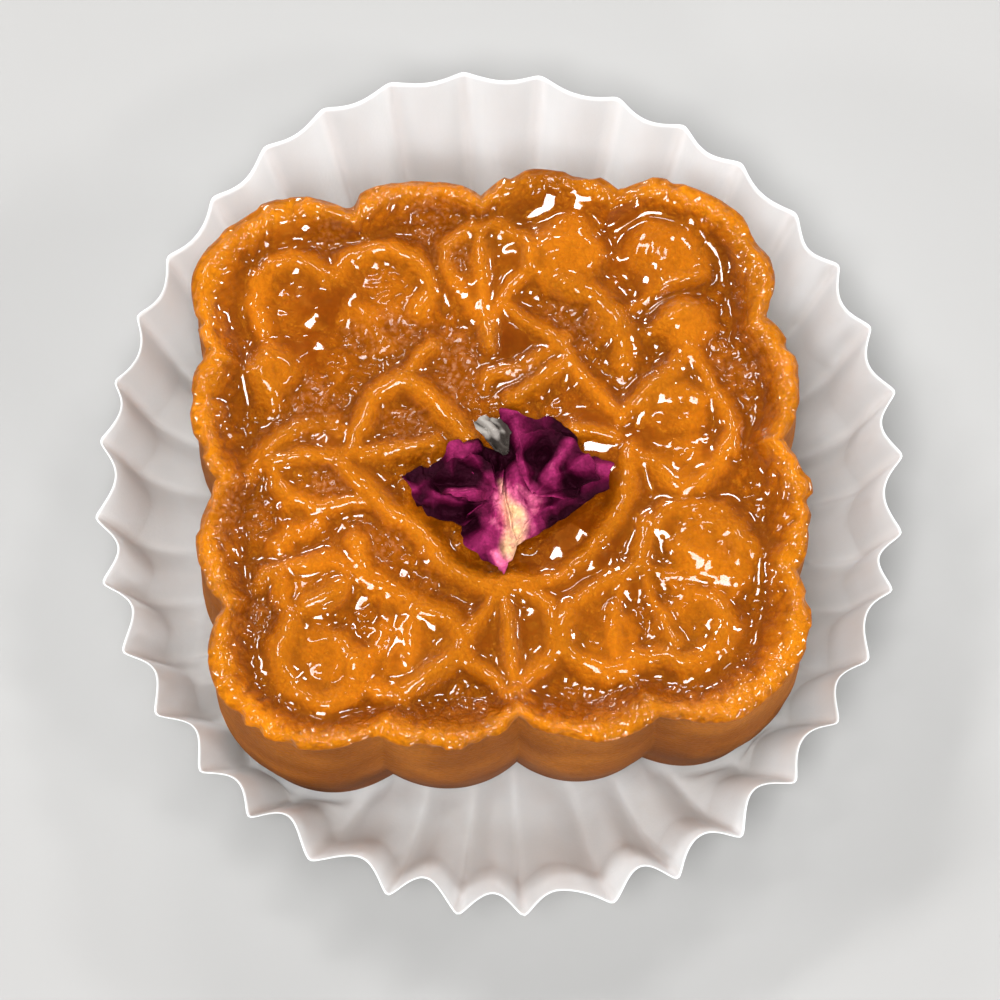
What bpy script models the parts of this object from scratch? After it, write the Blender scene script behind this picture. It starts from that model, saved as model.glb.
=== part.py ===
"""A moulded makroud in its fluted paper case, with a torn dried rose on top.

The pastry is a rounded square whose wall swells into twelve lobes. Its top has a thin standing rim, a channel inside
the rim, and a stamped relief: an eight-spoked wheel, a leaf at the middle of each side and a three-lobed flower in
each corner. Lengths are in metres, +Z is up, and the origin is the middle of the underside of the case.
"""

import math

import bmesh
import bpy

MM = 0.001

# Driving dimensions of the pastry.
HALF_WIDTH = 24.3 * MM  # from the middle to the outermost point of the left or right side, at the rim
DEPTH_SHARE = 0.963  # front to back it is this much shorter
CORNER_RADIUS = 11.5 * MM
PASTRY_HEIGHT = 22.0 * MM  # from its flat base to the crest of its rim
LOBE_DEPTH = 1.5 * MM  # how far a groove between two lobes cuts in
GROOVE_ANGLE = math.radians(26.0)  # of the two outer grooves of a side, from the side's middle
BASE_INSET = 1.7 * MM  # the base is this much smaller than the rim all round
RIM_FALL = 1.8 * MM  # from the rim's crest down to the channel
LIP_DROP = 0.5 * MM  # the outer edge of the rim lies this much under its crest

# The stamped relief, as heights above the channel and as shares of HALF_WIDTH.
PLATEAU_RISE = 0.55 * MM
WHEEL_PLATEAU = 0.35  # the cells between the spokes rise by this share of it
RIDGE_RISE = 0.95 * MM
RIDGE_WIDTH = 0.042
RING_RADIUS = 0.42
RING_FLATTENING = 0.035  # the ring is this much nearer the middle on the diagonals
HUB_RADIUS = 0.09
LEAF_SHOULDER = (0.655, 0.15)  # how far out a leaf is widest, and half its width there
LEAF_TIP = 0.80
BIG_LOBE = (0.62, 0.62, 0.17)  # centre and radius of a corner flower's outer lobe
SIDE_LOBE = (0.66, 0.335, 0.125)  # and of the lobe beside it, which is mirrored across the diagonal
FLOWER_HEART = (0.50, 0.50, 0.17)
FLOWER_GAP = 0.10  # between the wheel's ring and a corner flower
FLOWER_FOOT = 0.40  # where a flower's ribs start, on both axes
PATTERN_SHIFT = (-0.02, -0.01)

# The paper case.
CASE_BASE_RADIUS = 28.4 * MM
CASE_RIM_RADII = (31.4 * MM, 34.2 * MM)  # across and along: the rim is a little oval
CASE_HEIGHT = 14.0 * MM
PAPER = 0.3 * MM
FLUTES = 36
FLUTE_DEPTH_AT_BASE = 0.3 * MM
FLUTE_DEPTH_AT_RIM = 0.95 * MM
STEPS_PER_FLUTE = 6
FLOOR_RADIUS = 27.0 * MM  # the flat of the base, inside the ends of the flutes

GAP = 0.3 * MM  # kept between pieces that touch

# The dried rose: its petals spread from one point, a little in front of the pastry's middle.
ROSE_HEART = (0.6 * MM, -4.5 * MM)
PETAL_THICKNESS = 0.35 * MM
ROSE_FLOOR = PAPER + GAP + PASTRY_HEIGHT - RIM_FALL + PLATEAU_RISE + RIDGE_RISE + GAP

# Mesh fineness.
SIDE_HEIGHTS = (0.93, 0.70, 0.38, 0.14, 0.0)  # of the rings under the lip, as shares of the height
TOP_CELLS = 58
PETAL_CELLS = (6, 9)

PASTRY_BASE = PAPER + GAP
PASTRY_TOP = PASTRY_BASE + PASTRY_HEIGHT


def clamp(value):
    """The value, held between 0 and 1."""
    return min(1.0, max(0.0, value))


def smooth(value):
    """An S-shaped step from 0 to 1."""
    t = clamp(value)
    return t * t * (3.0 - 2.0 * t)


def mix(a, b, share):
    return a + (b - a) * share


def material(name, colour, roughness):
    """A Principled BSDF material with one colour."""
    made = bpy.data.materials.new(name)
    made.use_nodes = True
    shader = made.node_tree.nodes["Principled BSDF"]
    shader.inputs["Base Color"].default_value = (*colour, 1.0)
    shader.inputs["Roughness"].default_value = roughness
    shader.inputs["Metallic"].default_value = 0.0
    return made


def object_from(mesh_in_progress, name, finish):
    """Turns a bmesh into a named, smooth-shaded object."""
    bmesh.ops.recalc_face_normals(mesh_in_progress, faces=mesh_in_progress.faces)
    mesh = bpy.data.meshes.new(name)
    mesh_in_progress.to_mesh(mesh)
    mesh_in_progress.free()
    mesh.shade_smooth()
    mesh.set_sharp_from_angle(angle=math.radians(50))
    mesh.materials.append(finish)
    made = bpy.data.objects.new(name, mesh)
    bpy.context.scene.collection.objects.link(made)
    return made


def bridge(mesh, ring_a, ring_b):
    """Joins two closed rings of the same number of points with quads."""
    count = len(ring_a)
    for i in range(count):
        j = (i + 1) % count
        mesh.faces.new((ring_a[i], ring_a[j], ring_b[j], ring_b[i]))


# The pastry


def rounded_square(angle):
    """Distance from the middle to a square with round corners, along a ray at this angle."""
    short, long = sorted((abs(math.cos(angle)), abs(math.sin(angle))))
    straight = HALF_WIDTH - CORNER_RADIUS
    if HALF_WIDTH * short / long <= straight:
        return HALF_WIDTH / long
    reach = straight * (long + short)
    return reach + math.sqrt(reach**2 - 2.0 * straight**2 + CORNER_RADIUS**2)


def groove_share(angle):
    """1 in a groove between two lobes, 0 at the crown of a lobe. Each side has three grooves."""
    quarter = math.radians(90.0)
    from_side = abs((angle + quarter / 2.0) % quarter - quarter / 2.0)
    if from_side < GROOVE_ANGLE:
        return (2.0 * from_side / GROOVE_ANGLE - 1.0) ** 2
    return ((quarter / 2.0 - from_side) / (quarter / 2.0 - GROOVE_ANGLE)) ** 3


def outline(angle):
    """The rim's outline: the rounded square, a slow wobble and the grooves."""
    wobble = 0.30 * math.sin(2.0 * angle + 0.8) + 0.22 * math.sin(5.0 * angle + 2.1)
    return rounded_square(angle) + wobble * MM - LOBE_DEPTH * groove_share(angle)


def rim_crest(angle):
    """How far the hand-pressed rim stands above or below its mean height."""
    return (0.28 * math.sin(3.0 * angle + 0.5) + 0.18 * math.sin(7.0 * angle + 2.0)) * MM


def ridge(distance):
    """Cross-section of a stamped ridge: a rounded bump, 1 on its line."""
    return math.exp(-((distance / RIDGE_WIDTH) ** 2))


def to_segment(point, start, end):
    """Distance from a point to a straight piece of a line."""
    run = (end[0] - start[0], end[1] - start[1])
    offset = (point[0] - start[0], point[1] - start[1])
    share = clamp((offset[0] * run[0] + offset[1] * run[1]) / (run[0] ** 2 + run[1] ** 2))
    return math.hypot(offset[0] - share * run[0], offset[1] - share * run[1])


def leaf(along, across):
    """(depth, edge, rib) of the kite-shaped leaf at the middle of a side, whose foot is on the wheel's ring."""
    point, foot, tip = (along, across), (RING_RADIUS, 0.0), (LEAF_TIP, 0.0)
    edge = min(to_segment(point, foot, LEAF_SHOULDER), to_segment(point, LEAF_SHOULDER, tip))
    if along < LEAF_SHOULDER[0]:
        share = (along - RING_RADIUS) / (LEAF_SHOULDER[0] - RING_RADIUS)
    else:
        share = (LEAF_TIP - along) / (LEAF_TIP - LEAF_SHOULDER[0])
    inside = across < LEAF_SHOULDER[1] * share
    return (edge if inside else -edge), edge, to_segment(point, foot, tip)


def flower(a, b):
    """(depth, edge, rib) of the three-lobed flower in a corner, for a point folded to a >= b >= 0."""
    lobes = (BIG_LOBE, SIDE_LOBE, FLOWER_HEART)
    depth = max(radius - math.hypot(a - x, b - y) for x, y, radius in lobes)
    depth = min(depth, math.hypot(a, b) - RING_RADIUS - FLOWER_GAP)
    foot = (FLOWER_FOOT, FLOWER_FOOT)
    ribs = (
        to_segment((a, b), foot, (BIG_LOBE[0] + 0.04, BIG_LOBE[1] - 0.05)),
        to_segment((a, b), foot, (SIDE_LOBE[0], SIDE_LOBE[1] + 0.01)),
    )
    return depth, abs(depth), min(ribs)


def stamp(x, y):
    """Height of the stamped relief above the channel at a point given as shares of HALF_WIDTH."""
    x += 0.018 * math.sin(3.1 * y + 1.3) - PATTERN_SHIFT[0]
    y += 0.018 * math.sin(2.7 * x + 4.1) - PATTERN_SHIFT[1]
    b, a = sorted((abs(x), abs(y)))
    leaf_depth, leaf_edge, leaf_rib = leaf(a, b)
    flower_depth, flower_edge, flower_rib = flower(a, b)
    from_middle = math.hypot(a, b)
    diagonal_share = 1.0 - ((a * a - b * b) / max(from_middle, RIDGE_WIDTH) ** 2) ** 2
    ring = from_middle - RING_RADIUS + RING_FLATTENING * diagonal_share
    spoke = max(min(b, (a - b) / math.sqrt(2.0)), ring)
    in_wheel = WHEEL_PLATEAU * smooth(-ring / RIDGE_WIDTH + 0.5)
    plateau = max(in_wheel, smooth(max(leaf_depth, flower_depth) / RIDGE_WIDTH + 0.5))
    lines = min(leaf_edge, flower_edge, abs(ring), spoke, max(0.0, from_middle - HUB_RADIUS))
    ribs = 0.7 * max(ridge(leaf_rib), ridge(flower_rib))
    return PLATEAU_RISE * plateau + RIDGE_RISE * max(ridge(lines), ribs) * (1.0 - 0.3 * plateau)


def top_point(u, v):
    """A point of the pastry's top for grid coordinates from -1 to 1: square rings are bent to the outline."""
    share = max(abs(u), abs(v))
    angle = math.atan2(v, u)
    lobes = LOBE_DEPTH * groove_share(angle) * (1.0 - smooth((share - 0.6) / 0.35))
    reach = share * (outline(angle) + lobes)
    x, y = reach * math.cos(angle), DEPTH_SHARE * reach * math.sin(angle)
    inner_slope = smooth((share - 0.87) / 0.09)
    lip = smooth((share - 0.96) / 0.04)
    z = PASTRY_TOP - RIM_FALL * (1.0 - inner_slope) - LIP_DROP * lip + rim_crest(angle) * inner_slope
    fade = 1.0 - smooth((share - 0.86) / 0.06)
    return x, y, z + fade * stamp(x / HALF_WIDTH, y / HALF_WIDTH)


def side_inset(height):
    """How far the wall stands back from the rim's outline, at a height from 0 at the base to 1 at the lip."""
    under_lip = 0.45 * MM * smooth((1.0 - height) / 0.08)
    belly = 0.25 * MM * math.sin(math.pi * clamp(height / 0.9))
    foot = (BASE_INSET - under_lip) * (1.0 - smooth(height / 0.55)) ** 1.5
    return under_lip + foot - belly


def build_pastry(finish):
    """The top is a grid whose edge is drawn down in rings to a flat base."""
    mesh = bmesh.new()
    cells = TOP_CELLS
    grid = [
        [mesh.verts.new(top_point(2.0 * i / cells - 1.0, 2.0 * j / cells - 1.0)) for i in range(cells + 1)]
        for j in range(cells + 1)
    ]
    for j in range(cells):
        for i in range(cells):
            mesh.faces.new((grid[j][i], grid[j][i + 1], grid[j + 1][i + 1], grid[j + 1][i]))
    front = grid[0][:-1]
    right = [row[-1] for row in grid[:-1]]
    back = grid[-1][:0:-1]
    left = [row[0] for row in grid[:0:-1]]
    lip = front + right + back + left
    above = lip
    for height in SIDE_HEIGHTS:
        below = []
        for vert in lip:
            angle = math.atan2(vert.co.y / DEPTH_SHARE, vert.co.x)
            reach = outline(angle) - side_inset(height)
            x, y = reach * math.cos(angle), DEPTH_SHARE * reach * math.sin(angle)
            below.append(mesh.verts.new((x, y, mix(PASTRY_BASE, vert.co.z, height))))
        bridge(mesh, above, below)
        above = below
    mesh.faces.new(above)
    return object_from(mesh, "makroud", finish)


# The paper case


def flute(phase):
    """A pleat across one turn of phase: a crease that points out, 1, and a round hollow between creases, -1."""
    return 1.0 - 2.0 * abs(math.sin(phase / 2.0))


def case_point(angle, height, inner):
    """A point of the case's wall; height runs from 0 at the base to 1 at the rim."""
    across, along = CASE_RIM_RADII
    rim = 1.0 / math.hypot(math.cos(angle) / across, math.sin(angle) / along)
    rim += 0.25 * MM * math.sin(4.0 * angle + 0.6)
    depth = mix(FLUTE_DEPTH_AT_BASE, FLUTE_DEPTH_AT_RIM, height)
    radius = mix(CASE_BASE_RADIUS, rim, height) + depth * flute(FLUTES * angle)
    if inner:
        radius -= PAPER
    z = CASE_HEIGHT * height + 0.35 * MM * height * math.sin(3.0 * angle + 1.0)
    return radius * math.cos(angle), radius * math.sin(angle), z


def case_ring(mesh, height, inner, lift=0.0):
    count = FLUTES * STEPS_PER_FLUTE
    ring = []
    for i in range(count):
        x, y, z = case_point(2.0 * math.pi * i / count, height, inner)
        ring.append(mesh.verts.new((x, y, z + lift)))
    return ring


def floor_ring(mesh, z):
    count = FLUTES * STEPS_PER_FLUTE
    angles = (2.0 * math.pi * i / count for i in range(count))
    return [mesh.verts.new((FLOOR_RADIUS * math.cos(a), FLOOR_RADIUS * math.sin(a), z)) for a in angles]


def build_case(finish):
    """One sheet of paper: up the outside, over the rim, down the inside, closed by a flat floor."""
    mesh = bmesh.new()
    rings = [
        floor_ring(mesh, 0.0),
        case_ring(mesh, 0.0, inner=False),
        case_ring(mesh, 1.0, inner=False),
        case_ring(mesh, 1.0, inner=True),
        case_ring(mesh, 0.0, inner=True, lift=PAPER),
        floor_ring(mesh, PAPER),
    ]
    for lower, upper in zip(rings, rings[1:]):
        bridge(mesh, lower, upper)
    mesh.faces.new(rings[0])
    mesh.faces.new(rings[-1])
    return object_from(mesh, "paper_case", finish)


# The dried rose


def petal_point(along, across, shape):
    """A point of a petal's underside. along runs from its foot, 0, to its edge, 1; across from -1 to 1."""
    share = mix(shape["start"], 1.0, along)
    spread = math.radians(shape["spread"]) * (0.72 + 0.28 * along)
    angle = math.radians(shape["aim"]) + spread * across
    edge = 1.0 - shape["round"] * across**2 + 0.07 * math.sin(5.0 * across + shape["phase"])
    reach = shape["length"] * share * mix(1.0, edge, along)
    ruffle = shape["ruffle"] * along * (1.0 + math.sin(shape["waves"] * across + shape["phase"]))
    curl = shape["curl"] * along**2
    x = ROSE_HEART[0] + reach * math.cos(angle)
    y = ROSE_HEART[1] + reach * math.sin(angle)
    return x, y, ROSE_FLOOR + ruffle + curl


def build_petal(name, shape, finish):
    """A wavy sheet: two grids a petal's thickness apart, joined along their edges."""
    mesh = bmesh.new()
    rows, columns = PETAL_CELLS
    sheets = []
    for lift in (0.0, PETAL_THICKNESS):
        sheet = []
        for i in range(rows + 1):
            points = (petal_point(i / rows, 2.0 * j / columns - 1.0, shape) for j in range(columns + 1))
            sheet.append([mesh.verts.new((x, y, z + lift)) for x, y, z in points])
        sheets.append(sheet)
        for i in range(rows):
            for j in range(columns):
                corner, right = sheet[i][j], sheet[i][j + 1]
                over, across = sheet[i + 1][j], sheet[i + 1][j + 1]
                mesh.faces.new((corner, right, across))
                mesh.faces.new((corner, across, over))
    edges = []
    for sheet in sheets:
        right = [row[-1] for row in sheet[:-1]]
        left = [row[0] for row in sheet[:0:-1]]
        edges.append(sheet[0][:-1] + right + sheet[-1][:0:-1] + left)
    bridge(mesh, edges[0], edges[1])
    return object_from(mesh, name, finish)


PETALS = {
    "rose_petal_right": {
        "aim": 60.0, "spread": 36.0, "length": 9.4 * MM, "start": 0.16, "round": 0.16,
        "ruffle": 0.60 * MM, "waves": 7.0, "phase": 1.2, "curl": 0.9 * MM,
    },
    "rose_petal_left": {
        "aim": 157.0, "spread": 31.0, "length": 9.0 * MM, "start": 0.16, "round": 0.24,
        "ruffle": 0.55 * MM, "waves": 6.0, "phase": 0.4, "curl": 0.6 * MM,
    },
    "rose_petal_front": {
        "aim": 243.0, "spread": 44.0, "length": 4.6 * MM, "start": 0.24, "round": 0.22,
        "ruffle": 0.35 * MM, "waves": 5.0, "phase": 3.4, "curl": 0.2 * MM,
    },
}
SEPAL = {
    "aim": 111.0, "spread": 9.0, "length": 7.8 * MM, "start": 0.40, "round": 0.10,
    "ruffle": 0.20 * MM, "waves": 2.0, "phase": 1.0, "curl": 0.8 * MM,
}


def main():
    for leftover in list(bpy.data.objects):
        bpy.data.objects.remove(leftover)
    crust = material("glazed_crust", (0.60, 0.20, 0.025), 0.35)
    paper = material("white_paper", (0.86, 0.85, 0.84), 0.75)
    petal = material("dried_petal", (0.16, 0.006, 0.05), 0.70)
    sepal = material("dried_sepal", (0.45, 0.38, 0.33), 0.80)
    build_case(paper)
    build_pastry(crust)
    for name, shape in PETALS.items():
        build_petal(name, shape, petal)
    build_petal("rose_sepal", SEPAL, sepal)


main()
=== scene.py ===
# %% [markdown]
# # A makroud in its paper case
#
# A makroud of this kind is semolina dough round date paste. It is pressed into a carved mould, knocked out,
# baked and brushed with hot syrup, and it is sold in a pleated paper case. This lesson builds the visible
# surfaces of one: the stamped and glazed crust, the case and the torn dried rose on top. Every shape is a
# formula over a grid of numbers, worked out with numpy, and every finish is a node material.
#
# The solid model of the same object is loaded first. It fixes the sizes, and each piece made here stands in
# for one of its solids.

# %% The frame
import math

import bpy
import numpy as np
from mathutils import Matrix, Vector


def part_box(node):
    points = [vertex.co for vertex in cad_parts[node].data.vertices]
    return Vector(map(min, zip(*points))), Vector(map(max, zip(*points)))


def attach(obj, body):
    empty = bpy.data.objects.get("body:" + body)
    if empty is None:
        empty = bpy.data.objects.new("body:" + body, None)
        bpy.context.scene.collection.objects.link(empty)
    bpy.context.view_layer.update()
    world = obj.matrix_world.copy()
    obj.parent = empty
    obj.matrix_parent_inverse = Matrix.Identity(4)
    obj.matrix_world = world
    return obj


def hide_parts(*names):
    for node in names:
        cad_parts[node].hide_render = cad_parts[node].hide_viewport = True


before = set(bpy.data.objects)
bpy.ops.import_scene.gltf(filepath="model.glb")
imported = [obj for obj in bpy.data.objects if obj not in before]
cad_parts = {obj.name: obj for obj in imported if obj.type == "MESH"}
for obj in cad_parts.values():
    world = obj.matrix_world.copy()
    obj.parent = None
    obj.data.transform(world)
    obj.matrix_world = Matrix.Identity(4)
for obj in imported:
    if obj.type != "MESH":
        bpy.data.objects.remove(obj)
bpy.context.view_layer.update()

print("solids:", sorted(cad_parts))

# %% [markdown]
# ## Camera
#
# The pastry is seen from almost overhead, turned four degrees. A long lens from half a metre keeps its sides
# nearly parallel, as in a close view of a small thing, where a short lens would make the near edge swell. The
# lens follows from the width that has to fit: sensor width times distance, divided by the width of the view.

# %% The camera
CAMERA_AZIMUTH = math.radians(-4.0)
CAMERA_ELEVATION = math.radians(75.0)
CAMERA_DISTANCE = 0.5
VIEW_WIDTH = 0.081
LOOK_AT = Vector((0.0, 0.0, 0.010))


def direction(azimuth, elevation):
    """The unit vector from the object to a viewer or lamp; azimuth 0 is in front of it, at -Y."""
    level = math.cos(elevation)
    return Vector((math.sin(azimuth) * level, -math.cos(azimuth) * level, math.sin(elevation)))


def aim(thing, towards):
    """Turns a camera or lamp so that its -Z points at a place."""
    thing.rotation_euler = (Vector(towards) - thing.location).to_track_quat("-Z", "Y").to_euler()


camera = bpy.data.objects.new("camera", bpy.data.cameras.new("camera"))
bpy.context.scene.collection.objects.link(camera)
camera.location = LOOK_AT + direction(CAMERA_AZIMUTH, CAMERA_ELEVATION) * CAMERA_DISTANCE
camera.data.sensor_width = 36.0
camera.data.lens = camera.data.sensor_width * CAMERA_DISTANCE / VIEW_WIDTH
aim(camera, LOOK_AT)
bpy.context.scene.camera = camera
print("lens:", round(camera.data.lens), "mm")

# %% [markdown]
# ## Studio
#
# Syrup shows its shape by what it mirrors, so the lamps matter as much as the crust. One window, high and in
# front, gives the main light. Weak lamps stand round it, high ones for the glints on the pools and low ones
# for the walls of the case. All of them are small: a wide panel would be mirrored as a milky sheet over the
# deep orange. For the same reason the sky is dim, most of all overhead. The view transform is Standard,
# because it keeps the strong orange that a filmic curve would pale.

# %% Floor, sky and lamps
FLOOR_HALF = 0.6
FLOOR_DROP = 0.0001
FLOOR_COLOUR = (0.36, 0.355, 0.35, 1.0)
SKY_COLOUR = (0.96, 0.98, 0.93, 1.0)
SKY_LOW, SKY_OVERHEAD = 0.50, 0.09
SKY_BAND = (0.05, 0.38)


def lamp(name, azimuth, elevation, distance, size, power, stretch=1.0):
    """An area lamp aimed at the object, stretched sideways at the same area."""
    light = bpy.data.lights.new(name, "AREA")
    light.shape = "RECTANGLE"
    light.size = size * stretch
    light.size_y = size / stretch
    light.energy = power
    holder = bpy.data.objects.new(name, light)
    bpy.context.scene.collection.objects.link(holder)
    holder.location = LOOK_AT + direction(math.radians(azimuth), math.radians(elevation)) * distance
    aim(holder, LOOK_AT)


lamp("main_window", azimuth=-18.0, elevation=71.0, distance=0.8, size=0.22, power=5.7)
lamp("side_lamp", azimuth=58.0, elevation=46.0, distance=0.8, size=0.10, power=1.15)
lamp("back_window", azimuth=-136.0, elevation=54.0, distance=0.55, size=0.10, power=1.20, stretch=1.8)
lamp("back_lamp", azimuth=140.0, elevation=50.0, distance=0.55, size=0.07, power=0.65, stretch=1.6)
lamp("top_lamp", azimuth=-172.0, elevation=73.0, distance=0.55, size=0.05, power=0.24, stretch=1.9)
for number, azimuth in enumerate((20.0, 100.0, 190.0, -85.0)):
    lamp("low_lamp_%d" % number, azimuth, elevation=26.0, distance=0.7, size=0.07, power=1.1, stretch=1.5)


def sky_light():
    """A sky that dims from low to overhead strength over a band of the looked-at direction's height."""
    world = bpy.data.worlds.new("sky")
    world.use_nodes = True
    tree = world.node_tree
    split = tree.nodes.new("ShaderNodeSeparateXYZ")
    tree.links.new(tree.nodes.new("ShaderNodeTexCoord").outputs["Generated"], split.inputs[0])
    fall = tree.nodes.new("ShaderNodeMapRange")
    tree.links.new(split.outputs["Z"], fall.inputs["Value"])
    ends = (*SKY_BAND, SKY_LOW, SKY_OVERHEAD)
    for title, number in zip(("From Min", "From Max", "To Min", "To Max"), ends):
        fall.inputs[title].default_value = number
    tree.nodes["Background"].inputs["Color"].default_value = SKY_COLOUR
    tree.links.new(fall.outputs["Result"], tree.nodes["Background"].inputs["Strength"])
    return world


bpy.context.scene.world = sky_light()
bpy.context.scene.view_settings.view_transform = "Standard"

floor_mesh = bpy.data.meshes.new("floor")
corners = [(x * FLOOR_HALF, y * FLOOR_HALF, -FLOOR_DROP) for x, y in ((-1, -1), (1, -1), (1, 1), (-1, 1))]
floor_mesh.from_pydata(corners, [], [(0, 1, 2, 3)])
floor = bpy.data.objects.new("floor", floor_mesh)
bpy.context.scene.collection.objects.link(floor)
floor_look = bpy.data.materials.new("floor")
floor_look.use_nodes = True
floor_shader = floor_look.node_tree.nodes["Principled BSDF"]
floor_shader.inputs["Base Color"].default_value = FLOOR_COLOUR
floor_shader.inputs["Roughness"].default_value = 0.6
floor.data.materials.append(floor_look)

# %% [markdown]
# ## Tools for surfaces
#
# Shapes here are heights and radii over a grid, in millimetres. Three kinds of unevenness are enough: a
# smooth random field for slow waves, scattered pebbles for crumbs, and a blur, which finds the level that a
# liquid would take over a rough bed. Each works on whole arrays at once. Nothing is drawn from a random
# generator: a number for each cell of space comes from mixing the bits of its place, so the result is the
# same on each run.

# %% Steps, waves and crumbs
MM = 0.001


def smooth(t):
    """S-shaped step: 3 t squared minus 2 t cubed, for t held between 0 and 1."""
    t = np.clip(t, 0.0, 1.0)
    return t * t * (3.0 - 2.0 * t)


def mix(a, b, share):
    """a plus share times the way from a to b."""
    return a + (b - a) * share


def smooth_max(a, b, width):
    """The larger of a and b, with the corner where they cross rounded over about the given width."""
    share = np.clip(0.5 + 0.5 * (a - b) / width, 0.0, 1.0)
    return mix(b, a, share) + width * share * (1.0 - share)


def cell_number(cell, seed):
    """A number from 0 to 1 for each whole-number place: coordinates times large odd numbers, bits mixed."""
    mixed = cell[..., 0] * 73856093 ^ cell[..., 1] * 19349663 ^ cell[..., 2] * 83492791 ^ seed * 2654435761
    mixed = (mixed ^ (mixed >> 13)) * 1274126177
    mixed = (mixed ^ (mixed >> 16)) * 2246822519
    return ((mixed ^ (mixed >> 15)) & 0xFFFFFF) / float(0xFFFFFF)


def waves(points, size, seed):
    """Smooth random field from -1 to 1: cell numbers at the corners of cubes this size, blended inside."""
    place = points / size
    cell = np.floor(place).astype(np.int64)
    share = smooth(place - cell)
    total = np.zeros(points.shape[:-1])
    for corner in np.ndindex(2, 2, 2):
        weight = np.prod(np.where(corner, share, 1.0 - share), axis=-1)
        total += weight * cell_number(cell + np.array(corner), seed)
    return 2.0 * total - 1.0


def crumbs(points, size, seed):
    """Packed round crumbs, 1 at a crumb's top and 0 between crumbs: one minus the squared distance to the
    nearest of one jittered centre in each cube this size."""
    place = points / size
    cell = np.floor(place).astype(np.int64)
    nearest = np.full(points.shape[:-1], 9.0)
    for step in np.ndindex(3, 3, 3):
        near = cell + np.array(step) - 1
        jitter = np.stack([cell_number(near, seed + k) for k in range(3)], axis=-1)
        nearest = np.minimum(nearest, ((near + jitter - place) ** 2).sum(axis=-1))
    return np.clip(1.0 - nearest / 0.7, 0.0, 1.0)


def to_points(x, y, z=0.0):
    """Points from their coordinates; one number stands for all points."""
    return np.stack(np.broadcast_arrays(x, y, z), axis=-1)


def blur(field, cells):
    """Mean with bell-shaped weights over about this many grid cells, first along rows, then along columns."""
    reach = int(3 * cells)
    weights = np.exp(-0.5 * (np.arange(-reach, reach + 1) / cells) ** 2)
    weights /= weights.sum()
    for axis in (0, 1):
        padded = np.pad(field, [(reach, reach) if a == axis else (0, 0) for a in (0, 1)], mode="edge")
        places = np.arange(field.shape[axis])
        field = sum(weight * np.take(padded, places + k, axis) for k, weight in enumerate(weights))
    return field


# %% [markdown]
# A mesh needs its points, its faces and, for the materials, a few numbers at each point. Faces come from a
# table of point numbers: each point joins its right and lower neighbours. The numbers at the points are
# called attributes here. They carry what the shape already knows, such as how deep the syrup lies, into the
# material.

# %% From arrays to a mesh


def quads(index, closed=False):
    """Four-cornered faces between neighbours in a table of point numbers; closed joins the end columns."""
    right = np.roll(index, -1, axis=1) if closed else index[:, 1:]
    left = index if closed else index[:, :-1]
    return np.stack([left[:-1], right[:-1], right[1:], left[1:]], axis=-1).reshape(-1, 4)


def piece_from(name, points, faces, look, attributes):
    """An object at the origin from points in millimetres; its place is in its mesh."""
    mesh = bpy.data.meshes.new(name)
    mesh.from_pydata((points.reshape(-1, 3) * MM).tolist(), [], faces)
    for title, values in attributes.items():
        numbers = mesh.attributes.new(title, "FLOAT", "POINT").data
        numbers.foreach_set("value", values.ravel().astype(np.float32))
    mesh.materials.append(look)
    mesh.shade_smooth()
    made = bpy.data.objects.new(name, mesh)
    bpy.context.scene.collection.objects.link(made)
    print(name, "has", len(mesh.vertices), "points and", sum(len(f) - 2 for f in faces), "triangles")
    return made


# %% [markdown]
# ## The stamped relief
#
# The mould's pattern is a wheel with eight spokes, a pointed leaf at the middle of each side and a
# three-lobed flower in each corner. It could be sculpted, but carved lines are simple curves. So each ridge
# is a chain of straight strokes with a height and a half width, and each lobe is a low cushion with a place
# and a radius. A point's height follows from its distance to the nearest stroke. The pattern of a real mould
# is regular, but this piece was pressed and knocked out by hand, so its lines are bent, and each is listed
# where it ended up. All numbers are millimetres from the middle of the top.

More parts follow.
